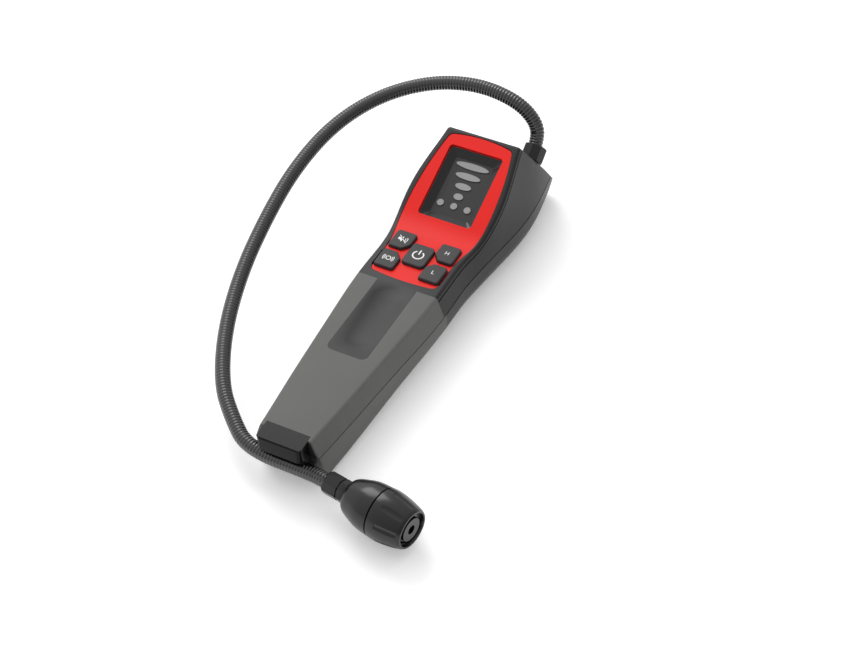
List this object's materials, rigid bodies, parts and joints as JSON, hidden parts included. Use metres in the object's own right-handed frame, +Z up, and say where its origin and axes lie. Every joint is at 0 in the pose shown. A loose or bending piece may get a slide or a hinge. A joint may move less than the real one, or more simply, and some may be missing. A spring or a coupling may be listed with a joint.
{
  "type": "gas leak detector",
  "caption": "Hand-held gas leak detector with a tilted display head, keypad, battery handle and a bendable probe that ends in a screwed sensor head.",
  "frame": {"origin": "middle of the flat on the back of the head, on which the detector lies", "axes": "+Z up out of the front face, +Y along the case towards the head, +X to the right as the display is read"},
  "size_m": [0.1681, 0.276, 0.0675],
  "materials": {
    "case_plastic": "fine matt moulded grain",
    "clip_plastic": "satin black",
    "grip_rubber": "soft matt overmould",
    "panel_red": "satin red",
    "tray_black": "matt black",
    "display_dark": "matt dark grey",
    "light_pale": "pale grey, unlit",
    "lamp_clear": "clear",
    "key_grey": "matt keys with white signs",
    "board_green": "solder mask",
    "switch_metal": "tinned",
    "screw_steel": "zinc plated",
    "contact_steel": "nickel plated strip",
    "cell_jacket": "printed film jacket",
    "sounder_black": "matt",
    "motor_steel": "drawn can",
    "weight_brass": "machined",
    "probe_black": "satin ribbed sleeve",
    "nut_black": "satin black",
    "cable_jacket": "smooth jacket",
    "sensor_plastic": "satin black",
    "seal_rubber": "matt",
    "sensor_metal": "plated can"
  },
  "bodies": {
    "case": {"front_shell": "case_plastic", "rear_shell": "case_plastic", "probe_clip": "clip_plastic", "front_grip": "grip_rubber", "rear_grip": "grip_rubber", "face_plate": "panel_red", "display_tray": "tray_black", "display_panel": "display_dark", "level_light_1": "light_pale", "level_light_2": "light_pale", "level_light_3": "light_pale", "level_light_4": "light_pale", "status_light_1": "light_pale", "status_light_2": "light_pale", "status_light_3": "light_pale", "indicator_lamps": "lamp_clear", "display_board": "board_green", "key_board": "board_green", "key_switches": "switch_metal", "case_screws": "screw_steel", "board_screws": "screw_steel", "contact_bridge": "contact_steel", "contact_plus": "contact_steel", "contact_minus": "contact_steel", "battery_cell_1": "cell_jacket", "battery_cell_2": "cell_jacket", "battery_cell_3": "cell_jacket", "battery_cell_4": "cell_jacket", "sounder": "sounder_black", "vibration_motor": "motor_steel", "gooseneck": "probe_black", "probe_nut": "nut_black", "sensor_nut": "nut_black", "sensor_cable": "cable_jacket", "sensor_body": "sensor_plastic", "sensor_socket": "sensor_plastic", "sensor_element": "sensor_metal"},
    "power_button": {"power_button": "key_grey"},
    "sound_button": {"sound_button": "key_grey"},
    "vibrate_button": {"vibrate_button": "key_grey"},
    "high_button": {"high_button": "key_grey"},
    "low_button": {"low_button": "key_grey"},
    "battery_door": {"battery_door": "grip_rubber"},
    "eccentric_weight": {"eccentric_weight": "weight_brass"},
    "cap_seal": {"cap_seal": "seal_rubber"},
    "sensor_cap": {"sensor_cap": "sensor_plastic"}
  },
  "joints": [
    {"name": "power_press", "type": "slide", "parent": "case", "child": "power_button", "axis": [0, 0, -1], "range_m": [0, 0.0008], "stiffness_N_per_m": 900},
    {"name": "sound_press", "type": "slide", "parent": "case", "child": "sound_button", "axis": [0, 0, -1], "range_m": [0, 0.0008], "stiffness_N_per_m": 900},
    {"name": "vibrate_press", "type": "slide", "parent": "case", "child": "vibrate_button", "axis": [0, 0, -1], "range_m": [0, 0.0008], "stiffness_N_per_m": 900},
    {"name": "high_press", "type": "slide", "parent": "case", "child": "high_button", "axis": [0, 0, -1], "range_m": [0, 0.0008], "stiffness_N_per_m": 900},
    {"name": "low_press", "type": "slide", "parent": "case", "child": "low_button", "axis": [0, 0, -1], "range_m": [0, 0.0008], "stiffness_N_per_m": 900},
    {"name": "door_slide", "type": "slide", "parent": "case", "child": "battery_door", "axis": [0, -1, 0], "range_m": [0, 0.11]},
    {"name": "motor_spin", "type": "hinge", "parent": "case", "child": "eccentric_weight", "pos_m": [0, -0.027, 0.0096], "axis": [1, 0, 0], "continuous": true},
    {"name": "cap_travel", "type": "slide", "parent": "case", "child": "cap_seal", "axis": [0.9851, -0.1719, 0], "range_m": [0, 0.0046]},
    {"name": "cap_turn", "type": "hinge", "parent": "cap_seal", "child": "sensor_cap", "pos_m": [0.0263, -0.2037, 0.016], "axis": [0.9851, -0.1719, 0], "range_deg": [0, 1080]}
  ],
  "couplings": [
    {"joint": "cap_travel", "follows": "cap_turn", "m_per_rad": 0.00023873}
  ]
}
